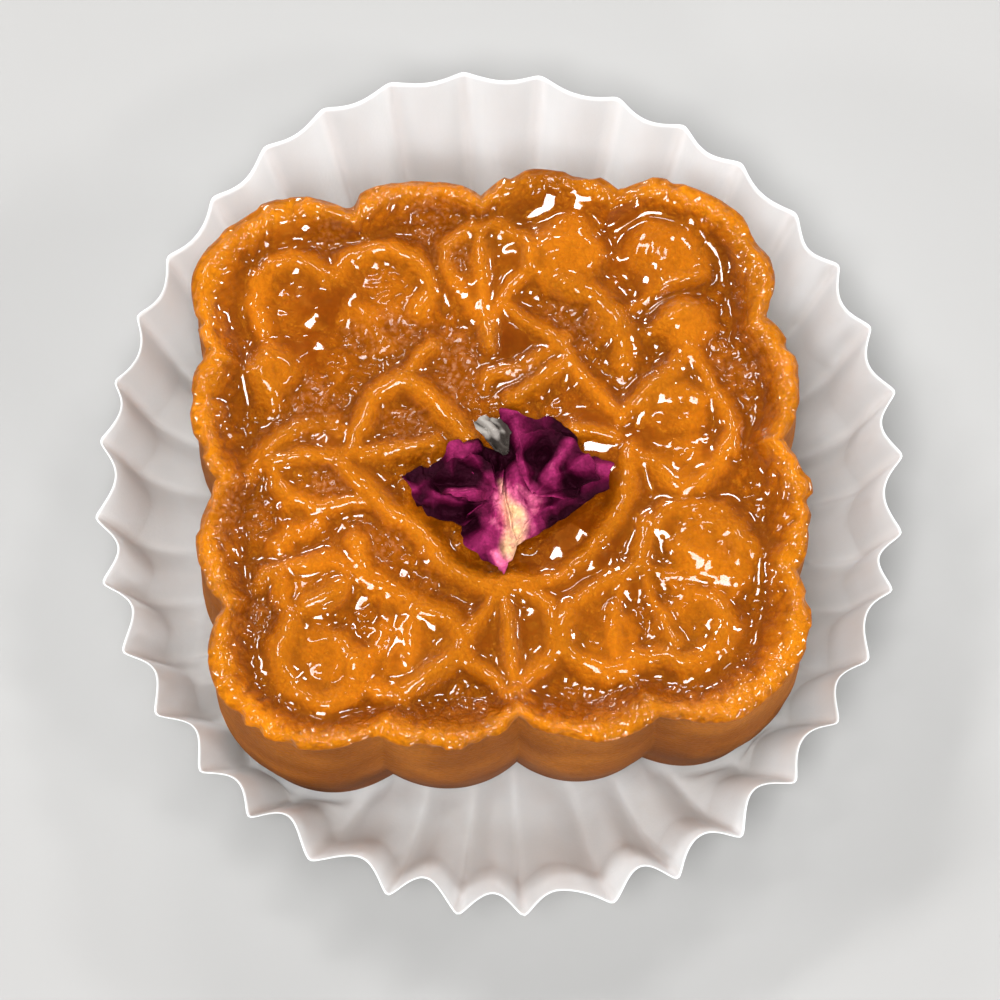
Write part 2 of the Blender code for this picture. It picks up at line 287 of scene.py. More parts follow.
# %% Ridges: height, half width and the places that the stroke passes through
RIDGES = (
    (0.95, 0.75, ((-18.1, 12.2), (-18.9, 14.3), (-18.2, 16.3), (-16.8, 17.6), (-15.0, 18.1), (-13.8, 17.5),
        (-12.9, 16.4))),
    (1.00, 0.75, ((-12.1, 16.5), (-11.1, 17.7), (-9.3, 18.3), (-7.4, 18.3), (-5.7, 17.4), (-4.7, 16.1),
        (-4.4, 14.5), (-5.3, 13.3))),
    (0.70, 0.80, ((-17.5, 10.9), (-18.5, 9.1), (-18.3, 7.6), (-17.5, 6.5))),
    (0.50, 0.80, ((-8.4, 10.5), (-9.5, 12.1), (-10.7, 13.2))),
    (1.10, 0.80, ((-11.9, 1.5), (-11.4, 3.3), (-10.2, 4.7), (-9.0, 6.3), (-7.3, 7.3), (-6.0, 6.6),
        (-4.6, 5.0), (-3.4, 3.6), (-2.6, 2.4))),
    (0.90, 0.60, ((-7.0, 7.6), (-6.1, 9.0), (-4.9, 10.2))),
    (0.75, 0.60, ((-3.3, 18.4), (-3.1, 16.7), (-2.1, 14.4), (-0.9, 12.0), (-0.5, 9.9))),
    (0.90, 0.70, ((-0.1, 19.7), (-2.1, 19.2), (-3.3, 18.4))),
    (1.00, 0.60, ((-0.2, 19.3), (-0.5, 16.8), (-0.4, 13.7), (-0.4, 9.7))),
    (1.00, 0.75, ((-17.9, 1.3), (-15.2, 1.7), (-11.5, 1.6), (-8.5, 1.7), (-5.1, 2.0))),
    (0.80, 0.70, ((-19.9, 0.1), (-18.8, 2.0), (-17.0, 3.7), (-15.2, 4.5), (-13.3, 4.1), (-11.8, 2.6))),
    (0.90, 0.65, ((-0.7, 20.4), (1.0, 19.8), (2.6, 18.5), (3.2, 17.5), (2.9, 15.9), (1.8, 14.5),
        (0.6, 12.5), (-0.3, 10.6))),
    (0.95, 0.65, ((1.0, 13.3), (2.5, 12.0), (4.3, 10.6), (5.6, 8.9), (6.3, 7.3), (8.3, 5.1), (9.7, 3.5))),
    (0.80, 0.60, ((-0.4, 7.4), (2.4, 8.0), (4.4, 9.0), (5.7, 9.9))),
    (1.00, 0.70, ((1.7, 5.6), (3.8, 7.0), (5.8, 8.1))),
    (0.95, 0.70, ((9.7, 3.2), (11.2, 4.4), (13.3, 5.8), (14.9, 7.2), (15.9, 7.8), (17.0, 5.8), (18.1, 3.7),
        (18.7, 1.6), (18.4, -0.2))),
    (0.60, 0.60, ((10.2, 3.7), (12.7, 4.7), (15.2, 4.8), (17.6, 4.0))),
    (0.90, 0.65, ((5.9, 2.4), (7.6, 2.2), (9.3, 1.7))),
    (1.05, 0.90, ((6.6, 13.7), (8.4, 13.5), (9.8, 11.6), (10.7, 9.3), (10.5, 7.8))),
    (0.50, 0.45, ((11.5, 12.2), (14.3, 13.6), (17.3, 14.4))),
    (0.60, 0.60, ((10.1, 9.6), (13.1, 10.0), (15.7, 11.5))),
    (0.85, 0.70, ((-18.4, 1.4), (-18.1, -0.4), (-16.9, -1.8), (-15.0, -2.6), (-13.1, -2.5), (-10.1, -2.2))),
    (0.70, 0.90, ((-17.7, -5.2), (-16.6, -4.4), (-15.1, -3.9))),
    (1.10, 0.80, ((-12.3, 1.0), (-11.0, -0.9), (-9.2, -3.0), (-7.3, -4.9), (-5.5, -7.1), (-3.7, -8.8),
        (-1.8, -9.9), (0.2, -10.4))),
    (1.00, 0.80, ((-11.7, -5.7), (-11.5, -8.2))),
    (0.85, 0.90, ((-11.5, -8.2), (-9.6, -9.4), (-8.2, -10.5), (-7.1, -11.1))),
    (0.70, 0.70, ((-11.8, -7.9), (-13.0, -9.1), (-14.8, -10.5), (-16.9, -11.5))),
    (0.80, 0.70, ((-19.4, -8.4), (-18.7, -7.5), (-17.1, -7.2), (-15.3, -7.1), (-13.6, -6.8),
        (-12.2, -7.7))),
    (0.80, 0.70, ((-17.9, -7.8), (-17.8, -9.8), (-17.3, -11.6))),
    (1.10, 0.85, ((-17.3, -11.9), (-18.5, -13.3), (-18.6, -15.4), (-17.8, -17.2), (-16.1, -18.5),
        (-14.4, -18.7), (-12.9, -18.0), (-12.0, -16.6), (-12.0, -15.1))),
    (0.35, 0.60, ((-13.3, -13.2), (-13.2, -14.7), (-14.0, -16.2))),
    (1.00, 0.85, ((-7.2, -11.3), (-4.9, -12.2), (-4.1, -13.6), (-4.3, -15.1), (-5.7, -16.3), (-7.4, -17.3),
        (-9.2, -18.1), (-10.9, -17.8), (-11.7, -16.9))),
    (0.50, 0.60, ((-7.9, -12.5), (-8.1, -14.6), (-8.6, -16.1))),
    (0.95, 0.70, ((-0.8, -10.7), (-2.7, -12.4), (-4.0, -14.3), (-4.0, -16.0), (-2.6, -17.0), (-0.6, -18.5),
        (0.5, -19.6))),
    (1.00, 0.60, ((-0.4, -9.9), (-0.2, -12.9), (-0.1, -15.5), (0.0, -17.9))),
    (0.95, 0.70, ((0.3, -9.8), (3.2, -11.6), (3.6, -13.7), (3.5, -15.7), (2.1, -17.0), (0.0, -18.3))),
    (0.95, 0.75, ((10.3, 0.6), (10.2, -1.2), (9.8, -3.2), (8.8, -5.4), (6.6, -7.8), (4.1, -9.4),
        (1.3, -10.1), (-0.9, -10.1))),
    (0.95, 0.80, ((11.0, -5.8), (10.8, -7.6), (10.5, -9.2))),
    (0.85, 0.80, ((10.5, -9.1), (8.4, -10.2), (6.4, -11.0), (4.7, -12.0))),
    (1.00, 0.80, ((4.7, -12.0), (4.0, -13.7), (4.1, -15.5), (5.3, -16.9), (7.2, -17.8), (8.7, -17.5),
        (9.9, -16.8))),
    (0.70, 0.60, ((10.6, -9.2), (12.4, -10.2), (14.3, -11.4), (16.2, -12.4))),
    (1.10, 0.90, ((16.2, -12.4), (17.1, -14.1), (16.5, -16.1), (15.1, -17.3), (13.3, -17.6), (11.9, -16.7),
        (9.9, -16.8))),
    (0.65, 0.50, ((10.7, -9.4), (11.3, -11.7), (12.4, -13.8), (13.0, -15.6))),
    (0.60, 0.50, ((9.4, -10.0), (8.3, -12.5), (8.1, -14.5), (8.4, -16.3))),
    (0.90, 0.85, ((11.7, -6.1), (12.8, -4.7), (14.8, -4.2), (16.9, -5.0), (18.5, -6.6), (19.1, -8.7),
        (18.5, -10.7), (16.9, -12.1))),
    (0.40, 0.50, ((12.5, -7.7), (14.5, -8.4), (15.9, -9.0))),
    (0.85, 0.70, ((10.2, 0.6), (12.2, -1.6), (13.9, -3.1), (15.8, -2.8), (17.3, -1.4), (18.2, 0.6))),
)

# %% Lobes: place, radius, level and how far the middle is domed above it
LOBES = (
    (-15.5, 15.3, 3.7, 0.35, 0.00), (-8.3, 15.3, 3.7, 0.35, 0.00), (-17.4, 8.8, 2.3, 0.60, 0.30),
    (6.2, 16.9, 3.8, 0.55, 0.75), (14.5, 16.5, 4.1, 0.55, 0.75), (15.6, 10.5, 2.7, 0.60, 0.40),
    (9.5, 10.9, 2.2, 0.40, 0.10), (-15.2, -15.1, 3.7, 0.60, 0.10), (-8.0, -14.6, 3.7, 0.50, 0.00),
    (-15.0, -9.2, 2.9, 0.50, 0.10), (14.0, -14.4, 3.7, 0.55, 0.00), (7.2, -14.5, 3.4, 0.50, 0.00),
    (15.7, -8.2, 3.6, 0.70, 0.30), (-0.7, 17.5, 3.4, 0.40, 0.00), (-0.2, -14.7, 3.7, 0.35, 0.00),
    (13.9, 3.7, 3.2, 0.50, 0.10), (14.5, -0.5, 2.7, 0.50, 0.10), (-16.4, 1.4, 2.9, 0.35, 0.00),
    (-15.6, -0.5, 2.2, 0.30, 0.00),
)

# %% Heights of the relief
RIDGE_SPREAD = 1.3
print(len(RIDGES), "strokes and", len(LOBES), "lobes")


def to_segment(x, y, start, end):
    """Distance to a straight piece of line: to the point at the nearest share of its run."""
    run = (end[0] - start[0], end[1] - start[1])
    along = (x - start[0]) * run[0] + (y - start[1]) * run[1]
    share = np.clip(along / (run[0] ** 2 + run[1] ** 2), 0.0, 1.0)
    return np.hypot(x - start[0] - share * run[0], y - start[1] - share * run[1])


def to_stroke(x, y, stroke):
    """Distance to a chain of straight pieces."""
    return np.minimum.reduce([to_segment(x, y, *ends) for ends in zip(stroke, stroke[1:])])


def relief(x, y):
    """Ridges and lobes apart: the largest height * exp(-(distance / half width) ** 2.5) of any stroke, and
    the largest level * S-step + dome * (1 - (distance / radius) squared) of any lobe."""
    flat = to_points(x, y)
    x = x + 0.30 * waves(flat, 3.1, 11) + 0.12 * waves(flat, 1.3, 12)
    y = y + 0.30 * waves(flat, 3.1, 13) + 0.12 * waves(flat, 1.3, 14)
    ridges = np.zeros_like(x)
    for rise, half, stroke in RIDGES:
        away = to_stroke(x, y, stroke) / (RIDGE_SPREAD * half)
        ridges = np.maximum(ridges, rise * np.exp(-(away**2.5)))
    uneven = 0.45 * waves(flat, 2.4, 15)
    lobes = np.zeros_like(x)
    for east, north, radius, level, dome in LOBES:
        distance = np.hypot(x - east, y - north) + uneven
        rounded = dome * np.clip(1.0 - (distance / radius) ** 2, 0.0, 1.0)
        lobes = np.maximum(lobes, level * smooth((radius + 0.3 - distance) / 1.8) + rounded)
    return ridges, lobes


# %% [markdown]
# ## The crust and its syrup
#
# The pastry is one closed skin: a square grid for the top, whose outer rows are bent into the lobed outline,
# and rings that carry its edge down the wall to a flat base. The square rings of the grid become lobed rings:
# a point's share of the way out is the larger of its two grid coordinates, and its angle stays the same.
#
# Over that goes the syrup. A syrup film is level where it is deep and clings where it is thin. So its level
# is the blurred crust plus a thickness, and the skin is the larger of crust and level, with a rounded corner
# where a crumb stands out of the film, as surface tension makes it. How deep the film is becomes an attribute
# for the colour.

# %% Outline of the pastry
HALF_WIDTH = 24.3
DEPTH_SHARE = 0.963
CORNER_RADIUS = 11.5
LOBE_DEPTH = 2.0
GROOVE_ANGLE = math.radians(26.0)
BACK_BULGE = {"size": 1.1, "place": math.radians(96.0), "width": 0.08}
CORNER_DENT = {"size": 1.4, "place": math.radians(43.0), "width": 0.05}
pastry_low, pastry_high = (np.array(corner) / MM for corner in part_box("makroud"))
PASTRY_BASE = pastry_low[2]
RIM_SPREAD = 0.40
PASTRY_TOP = pastry_high[2] - RIM_SPREAD


def rounded_square(angle):
    """Distance from the middle to a square with round corners: its flat side, or the circle of its corner."""
    near, far = np.sort(np.abs([np.cos(angle), np.sin(angle)]), axis=0)
    straight = HALF_WIDTH - CORNER_RADIUS
    reach = straight * (near + far)
    corner = reach + np.sqrt(np.maximum(reach**2 - 2.0 * straight**2 + CORNER_RADIUS**2, 0.0))
    return np.where(HALF_WIDTH * near / far <= straight, HALF_WIDTH / far, corner)


def groove_share(angle):
    """1 in the grooves, at each side's middle and either side of it, and 0 at the crowns of the lobes."""
    quarter = math.pi / 2.0
    from_side = np.abs((angle + quarter / 2.0) % quarter - quarter / 2.0)
    on_side = (2.0 * from_side / GROOVE_ANGLE - 1.0) ** 2
    in_corner = np.abs((quarter / 2.0 - from_side) / (quarter / 2.0 - GROOVE_ANGLE)) ** 3
    return np.where(from_side < GROOVE_ANGLE, on_side, in_corner)


def swelling(angle, size, place, width):
    """A bell round one angle: size * exp((cos(angle - place) - 1) / width)."""
    return size * np.exp((np.cos(angle - place) - 1.0) / width)


def outline(angle):
    """The rim: rounded square + slow wobble + the bulge at the back - the dented corner - the grooves."""
    wobble = 0.30 * np.sin(2.0 * angle + 0.8) + 0.22 * np.sin(5.0 * angle + 2.1)
    bent = rounded_square(angle) + wobble + swelling(angle, **BACK_BULGE) - swelling(angle, **CORNER_DENT)
    return bent - LOBE_DEPTH * groove_share(angle)


print("pastry from", round(PASTRY_BASE, 1), "to", round(PASTRY_TOP, 1), "mm up")

# %% [markdown]
# Where syrup pooled, where the crust stayed dry and where drops stand are facts of this one piece, so they
# are given as three lists of spots: place, radius and strength, each spreading as a bell. A drop's strength
# is its height above the film.

# %% Pools, dry patches and drops
POOLS = (
    (-13.7, 15.2, 3.2, 0.60), (-10.5, 15.5, 2.0, 0.45), (-14.7, 12.4, 3.0, 0.50),
    (-14.9, 8.9, 2.4, 0.45), (2.0, 10.4, 2.2, 0.90), (0.9, 9.3, 1.8, 0.60),
    # The pool at 5.0, -6.4 is set deepest: real syrup, and its dark colour is partly painted shadow of the
    # rose.
    (5.0, -6.4, 4.2, 1.10), (9.6, -0.9, 2.4, 0.50), (-2.3, -14.5, 1.6, 0.60),
    (1.5, -13.8, 1.6, 0.60), (-14.0, -9.1, 1.8, 0.50), (14.3, -14.5, 2.6, 0.15),
    (6.5, -13.4, 1.6, 0.50), (7.6, 1.9, 2.4, 0.70), (13.0, 1.5, 2.2, 0.50),
    (6.3, 4.8, 1.6, 0.60), (5.4, 22.7, 3.4, 0.80), (10.9, 20.2, 2.2, 0.60),
    (-13.6, 3.2, 1.8, 0.60), (-11.6, 0.3, 1.6, 0.50), (-11.2, -4.2, 1.4, 0.30),
    (1.5, 16.8, 1.5, 0.50), (12.5, 15.8, 3.0, 0.50),
)
DRY = (
    (-6.5, 3.2, 2.0, 1.00), (-3.0, 6.5, 2.0, 0.90), (-14.2, 5.5, 2.4, 0.90),
    (-10.3, 4.2, 1.2, 0.50), (-4.3, 20.4, 3.0, 0.60), (-2.3, 17.2, 1.6, 0.60),
    (-9.8, 11.1, 2.0, 0.70), (-6.9, 11.4, 2.0, 0.60), (-2.8, 9.6, 2.0, 0.70),
    (6.5, 11.1, 2.2, 0.70), (2.6, 7.3, 1.6, 0.60), (19.0, 7.2, 2.6, 0.50),
    (-13.2, -1.2, 2.2, 0.80), (-9.4, -5.8, 2.0, 0.80), (-21.4, -2.4, 2.6, 0.60),
    (-19.6, -11.2, 1.8, 0.50), (-9.9, -20.0, 3.0, 0.20), (-3.9, -19.7, 2.6, 0.20),
    (17.9, -8.6, 1.4, 0.30), (13.1, -21.0, 3.0, 0.30), (6.5, -19.8, 2.6, 0.25),
    (-12.2, 19.7, 1.8, 0.50), (-0.7, -9.0, 1.4, 0.40), (-5.2, -9.2, 1.6, 0.40),
)
DROPS = (
    (-13.4, 13.6, 1.7, 0.46), (-14.5, 10.2, 1.1, 0.40), (10.9, 15.9, 1.0, 0.30),
    (13.6, 14.6, 1.1, 0.26), (5.2, 18.2, 0.8, 0.28), (2.2, 17.2, 0.9, 0.26),
    (15.8, 12.0, 0.8, 0.26), (16.2, -0.6, 0.9, 0.30), (12.8, 2.0, 1.4, 0.26),
    (9.4, -2.4, 0.9, 0.26), (7.2, -8.4, 1.0, 0.22), (16.6, -14.8, 0.9, 0.26),
    (9.9, -11.2, 0.8, 0.26), (12.7, -6.6, 0.8, 0.30), (-8.9, -15.4, 0.9, 0.34),
    (-14.6, -11.6, 0.7, 0.24), (-3.6, -12.8, 0.7, 0.26), (1.6, -12.8, 0.9, 0.26),
    (2.8, 22.6, 1.2, 0.36), (-1.0, 14.6, 0.9, 0.28), (-2.6, 14.4, 0.7, 0.26),
    (-13.4, 2.9, 0.8, 0.26), (-15.6, 20.2, 1.2, 0.20), (-11.6, 21.0, 1.2, 0.22),
    (8.0, 21.4, 1.4, 0.22), (11.6, 21.0, 1.4, 0.22),
)
print(len(POOLS), "pools,", len(DRY), "dry patches and", len(DROPS), "drops")


def spots(x, y, places):
    """Sum of bells, each exp(-(distance / radius) squared) times its strength."""
    return sum(
        strength * np.exp(-((x - east) ** 2 + (y - north) ** 2) / radius**2)
        for east, north, radius, strength in places
    )


# %% The grid of the top
TOP_CELLS = 270
TOP_CELL = 2.0 * HALF_WIDTH / TOP_CELLS
CHIP_SLOW, CHIP_FINE = 0.40, 0.55


def top_grid():
    """Angle, share of the way out and level place of each point: place = share * outline(angle), where the
    share is the larger grid coordinate. Rings lose their lobes towards the middle."""
    steps = np.linspace(-1.0, 1.0, TOP_CELLS + 1)
    u, v = np.meshgrid(steps, steps)
    share = np.maximum(np.abs(u), np.abs(v))
    angle = np.arctan2(v, u)
    unlobed = LOBE_DEPTH * groove_share(angle) * (1.0 - smooth((share - 0.6) / 0.35))
    reach = share * (outline(angle) + unlobed)
    return angle, share, to_points(reach * np.cos(angle), DEPTH_SHARE * reach * np.sin(angle))


def chipped(angle, share, flat):
    """x and y with the outermost rows moved in and out: slow waves and the upper half of fine waves."""
    edge = smooth((share - 0.88) / 0.12)
    chip = edge * (CHIP_SLOW * waves(flat, 3.4, 21) + CHIP_FINE * np.maximum(0.0, waves(flat, 1.3, 22)))
    return flat[..., 0] - chip * np.cos(angle), flat[..., 1] - chip * np.sin(angle)


# %% The rim, the relief and the crumbs
RIM_FALL = 1.8
RIM_FOOT, RIM_CROWN = 0.828, 0.952
LIP_START, LIP_DROP = 0.970, 0.5
RELIEF_RISE, LOBE_RISE = 1.12, 1.10
CHANNEL_ROUGH, PRESSED_ROUGH, MORE_ROUGH = 0.165, 0.040, 0.10


def rim_height(angle, share, flat):
    """The channel's level, plus a slope from the rim's wandering foot to its crown, plus a crest of sines and
    waves that tanh keeps within its spread, minus the fall of the lip outside."""
    foot = RIM_FOOT + 0.025 * waves(flat, 6.0, 23) + 0.012 * waves(flat, 1.9, 29)
    ramp = np.clip((share - foot) / (RIM_CROWN - foot), 0.0, 1.0)
    slope = mix(ramp, smooth(ramp), 0.4)
    lip = smooth((share - LIP_START) / (1.0 - LIP_START))
    crest = 0.28 * np.sin(3.0 * angle + 0.5) + 0.18 * np.sin(7.0 * angle + 2.0) + 0.30 * waves(flat, 2.6, 24)
    held = 0.65 * RIM_SPREAD * np.tanh(crest / RIM_SPREAD)
    return PASTRY_TOP - RIM_FALL * (1.0 - slope) - LIP_DROP * lip + held * slope


def crust_height(x, y, angle, share, flat):
    """Rim + relief, uneven along each line and faded out before the rim, + crumbs, coarse in the channel and
    fine on the pressed shapes. With it go the masks of dryness and pressing, and how far each point may be
    a pool."""
    ridges, lobes = relief(x, y)
    fade = 1.0 - smooth((share - 0.84) / 0.07)
    uneven = 0.90 + 0.28 * waves(flat, 3.3, 25)
    lines = RELIEF_RISE * uneven * ridges * (1.0 - 0.35 * np.clip(lobes, 0.0, 1.0))
    shapes = rim_height(angle, share, flat) + blur(fade * (lines + LOBE_RISE * lobes), 0.18 / TOP_CELL)
    pressed = fade * np.clip(0.9 * ridges + 1.3 * lobes, 0.0, 1.0)
    patchy = spots(x, y, DRY) * (0.8 + 0.5 * waves(flat, 1.6, 26))
    dry = np.clip(patchy, 0.0, 1.0) * (1.0 - 0.75 * fade * ridges)
    rough = mix(CHANNEL_ROUGH, PRESSED_ROUGH, pressed) + MORE_ROUGH * dry
    rough = rough + MORE_ROUGH * smooth((share - 0.89) / 0.05)
    place = to_points(x, y, 0.6 * shapes)
    lumps = crumbs(place, 1.35, 31) * mix(1.0, 0.3, pressed) + 0.9 * crumbs(place, 0.62, 41) - 0.60
    crust = shapes + rough * lumps + 0.07 * waves(place, 0.9, 27)
    return crust, dry, pressed, 1.0 - 0.8 * fade * np.clip(ridges, 0.0, 1.0)


# %% The syrup and the whole top
FILM_LEVEL = -0.032
FULL_FILM = 0.40


def top_surface():
    """Points of the top and the masks for its material. Film level = crust blurred a little, and in pools
    blurred wide, + waves + drops; the top is the rounded larger of crust and level, and the film their
    distance."""
    angle, share, flat = top_grid()
    x, y = chipped(angle, share, flat)
    crust, dry, pressed, open_ground = crust_height(x, y, angle, share, flat)
    pooled = spots(x, y, POOLS)
    near = blur(crust, 0.45 / TOP_CELL)
    level = near + FILM_LEVEL + 0.07 * waves(flat, 2.6, 28)
    deep = blur(crust, 1.3 / TOP_CELL) + 0.10 * pooled + 0.085 * waves(flat, 1.5, 30)
    level = mix(level, deep, 0.85 * np.clip(pooled, 0.0, 1.0) ** 1.3) - 0.45 * dry + spots(x, y, DROPS)
    top = smooth_max(crust, level, 0.09)
    film = np.clip((top - crust) / FULL_FILM, 0.0, 1.0)
    return to_points(x, y, np.minimum(top, pastry_high[2])), {
        "film": film,
        "dry": dry,
        "pressed": pressed,
        "pool": np.clip(pooled - 0.15, 0.0, 0.95) * open_ground,
        # The top against its wide blur: the colour paints shade into the hollows and light onto the tops with
        # it.
        "height": np.clip((top - blur(top, 1.5 / TOP_CELL)) / 0.60, -1.0, 1.0),
        # The crust against its narrow blur, where the film is thin: painted shade in the pits, painted light
        # on crumb tops.
        "pits": np.clip((crust - near) / 0.10, -1.0, 1.0) * (1.0 - film),
        "rim": smooth((share - 0.86) / 0.12),
    }


top_points, top_masks = top_surface()
print("mean film depth share:", round(float(top_masks["film"].mean()), 2))

# %% [markdown]
# The wall leans in towards the base and swells a little at its waist. Its rows start at the edge of the top,
# so the two share those points and the skin stays closed.

# %% The wall and the whole skin
WALL_ROWS = 24
BASE_INSET = 1.7
UNDER_LIP, BELLY = 0.45, 0.25


def wall_surface(lip):
    """Rings below the lip, and how near the base each point is. Reach = outline - the step under the lip -
    the inset of the foot + the belly + rough waves and crumbs. Just below the lip, the lip's own chipped
    reach takes the outline's place."""
    angle = np.arctan2(lip[:, 1] / DEPTH_SHARE, lip[:, 0])[None, :]
    height = (1.0 - np.linspace(0.0, 1.0, WALL_ROWS + 1)[1:, None]) ** 1.35
    height = np.minimum(height, 0.985)
    under_lip = UNDER_LIP * smooth((1.0 - height) / 0.06)
    belly = BELLY * np.sin(math.pi * np.clip(height / 0.9, 0.0, 1.0))
    foot = (BASE_INSET - under_lip) * (1.0 - smooth(height / 0.55)) ** 1.5
    lip_reach = np.hypot(lip[:, 0], lip[:, 1] / DEPTH_SHARE)[None, :]
    reach = mix(outline(angle), lip_reach, smooth((height - 0.80) / 0.18)) - under_lip - foot + belly
    z = mix(PASTRY_BASE, lip[:, 2][None, :], height)
    points = to_points(reach * np.cos(angle), DEPTH_SHARE * reach * np.sin(angle), z)
    rough = 0.04 * crumbs(points, 1.4, 51) + 0.05 * waves(points, 2.8, 52) + 0.06 * crumbs(points, 2.6, 53)
    rough *= np.minimum(1.0, height / 0.1)
    points[..., 0] += (rough - 0.08) * np.cos(angle)
    points[..., 1] += (rough - 0.08) * np.sin(angle)
    return points, smooth((0.50 + 0.12 * waves(points, 3.0, 54) - height) / 0.50)


index = np.arange((TOP_CELLS + 1) ** 2).reshape(TOP_CELLS + 1, TOP_CELLS + 1)
lip_index = np.concatenate([index[0, :-1], index[:-1, -1], index[-1, :0:-1], index[:0:-1, 0]])
wall_points, wall_base = wall_surface(top_points.reshape(-1, 3)[lip_index])
wall_index = index.size + np.arange(WALL_ROWS * lip_index.size).reshape(WALL_ROWS, -1)
wall_table = np.concatenate([lip_index[None, :], wall_index])
pastry_points = np.concatenate([top_points.reshape(-1, 3), wall_points.reshape(-1, 3)])
pastry_faces = quads(index).tolist() + quads(wall_table, closed=True)[:, ::-1].tolist()
pastry_faces.append(wall_index[-1, ::-1].tolist())
pastry_masks = {
    title: np.concatenate([values.ravel(), np.zeros(wall_index.size)]) for title, values in top_masks.items()
}
pastry_masks["wall"] = np.concatenate([np.zeros(index.size), np.ones(wall_index.size)])
pastry_masks["base"] = np.concatenate([np.zeros(index.size), wall_base.ravel()])

# %% [markdown]
# ## Crust material
#
# Baked semolina is bright orange where a ridge or the rim caught the heat, and pinkish tan where it stayed
# dry; on the crumbs of the rim that brightness is partly painted light on the crest. The hollows of the
# relief and the pits between crumbs are painted darker and redder as painted shade, the tops of the relief
# and of the crumbs lighter as painted light, and the channel is darkened towards the hollows' colour. Syrup
# darkens and deepens what lies under it. The masks mix those colours, and noise at the size of the grains
# breaks them up. The wet look is the shader's coat, a second clear layer with its own gloss: it follows the
# smooth shape of the film, while the fine bump roughens only the crust below it.

# %% Node helpers


def feed(tree, socket, value):
    """Links a socket to an input, or sets the input to a number or colour."""
    if isinstance(value, bpy.types.NodeSocket):
        tree.links.new(value, socket)
    else:
        socket.default_value = value


def node(tree, kind, **inputs):
    """A new node with some of its inputs fed; an underscore stands for a space in a title."""
    made = tree.nodes.new(kind)
    for title, value in inputs.items():
        feed(tree, made.inputs[title.replace("_", " ")], value)
    return made


def blend_colour(tree, share, first, second, kind="MIX"):
    """first plus share times the way to second, or first times second where the kind is MULTIPLY."""
    made = tree.nodes.new("ShaderNodeMix")
    made.data_type = "RGBA"
    made.blend_type = kind
    for number, value in ((0, share), (6, first), (7, second)):
        feed(tree, made.inputs[number], value)
    return made.outputs[2]


def calculate(tree, operation, *values):
    """A Math node's result for its two or three values."""
    made = tree.nodes.new("ShaderNodeMath")
    made.operation = operation
    for socket, value in zip(made.inputs, values):
        feed(tree, socket, value)
    return made.outputs[0]


def remap(tree, value, low, high, to_low=0.0, to_high=1.0):
    """Stretches a range of a mask to another range, held at its ends."""
    ends = {"From_Min": low, "From_Max": high, "To_Min": to_low, "To_Max": to_high}
    return node(tree, "ShaderNodeMapRange", Value=value, **ends).outputs["Result"]


def attribute(tree, title):
    """The factor of an attribute of the piece."""
    made = tree.nodes.new("ShaderNodeAttribute")
    made.attribute_name = title
    return made.outputs["Fac"]


def layered(tree, colour, layers):
    """A colour with others blended over it in turn, each given as its share and its colour."""
    for share, over in layers:
        colour = blend_colour(tree, share, colour, over)
    return colour


def speckled(tree, colour, share, brightness):
    """A colour times a brightness that varies over the surface, by this share."""
    grey = node(tree, "ShaderNodeCombineColor", Red=brightness, Green=brightness, Blue=brightness).outputs[0]
    return blend_colour(tree, share, colour, grey, "MULTIPLY")


def bumped(tree, height, distance, strength=1.0):
    """The normal of a rough surface, where a height of 1 stands for this distance in metres."""
    return node(tree, "ShaderNodeBump", Height=height, Distance=distance, Strength=strength).outputs[0]


def material(title, finish):
    """A Principled material: finish(tree) builds its nodes and says what each of the shader's inputs gets."""
    made = bpy.data.materials.new(title)
    made.use_nodes = True
    shader = made.node_tree.nodes["Principled BSDF"]
    for name, value in finish(made.node_tree).items():
        feed(made.node_tree, shader.inputs[name], value)
    return made


# %% The grain group


def grain_group():
    """Grain on Object coordinates. Height: fine noise plus half of 1 minus the distance to the nearest cell's
    middle. Patches: noise about six times as wide."""
    group = bpy.data.node_groups.new("grain", "ShaderNodeTree")
    group.interface.new_socket("Size", in_out="INPUT", socket_type="NodeSocketFloat").default_value = 0.001
    for title in ("Height", "Patches"):
        group.interface.new_socket(title, in_out="OUTPUT", socket_type="NodeSocketFloat")
    place = group.nodes.new("ShaderNodeTexCoord").outputs["Object"]
    scale = calculate(group, "DIVIDE", 1.0, group.nodes.new("NodeGroupInput").outputs["Size"])
    wide = calculate(group, "MULTIPLY", scale, 0.18)
    fine = node(group, "ShaderNodeTexNoise", Vector=place, Scale=scale, Detail=3.0, Roughness=0.6).outputs[0]
    slow = node(group, "ShaderNodeTexNoise", Vector=place, Scale=wide, Detail=2.0).outputs[0]
    cells = node(group, "ShaderNodeTexVoronoi", Vector=place, Scale=scale).outputs["Distance"]
    height = calculate(group, "MULTIPLY_ADD", calculate(group, "SUBTRACT", 1.0, cells), 0.5, fine)
    leave = group.nodes.new("NodeGroupOutput")
    group.links.new(height, leave.inputs["Height"])
    group.links.new(slow, leave.inputs["Patches"])
    return group


GRAIN = grain_group()


def grain(tree, size, title="Height"):
    """One output of the grain group placed in a material, for grains this size in metres."""
    made = tree.nodes.new("ShaderNodeGroup")
    made.node_tree = GRAIN
    made.inputs["Size"].default_value = size
    return made.outputs[title]


# %% The crust material
# Pit: painted shade in the pits between crumbs.
CRUST_PIT_SHADE = (0.11, 0.021, 0.0006, 1.0)
# Hollow: painted shade in the relief's hollows, the channel's darkening and the dark between dry crumbs.
CRUST_DARK_AND_SHADE = (0.21, 0.045, 0.0008, 1.0)
CRUST_MEAN = (0.35, 0.082, 0.0016, 1.0)
# High: painted light on the tops, and the relief's own brighter colour.
CRUST_BRIGHT_AND_LIT = (0.425, 0.121, 0.004, 1.0)
CRUST_DRY = (0.34, 0.145, 0.07, 1.0)
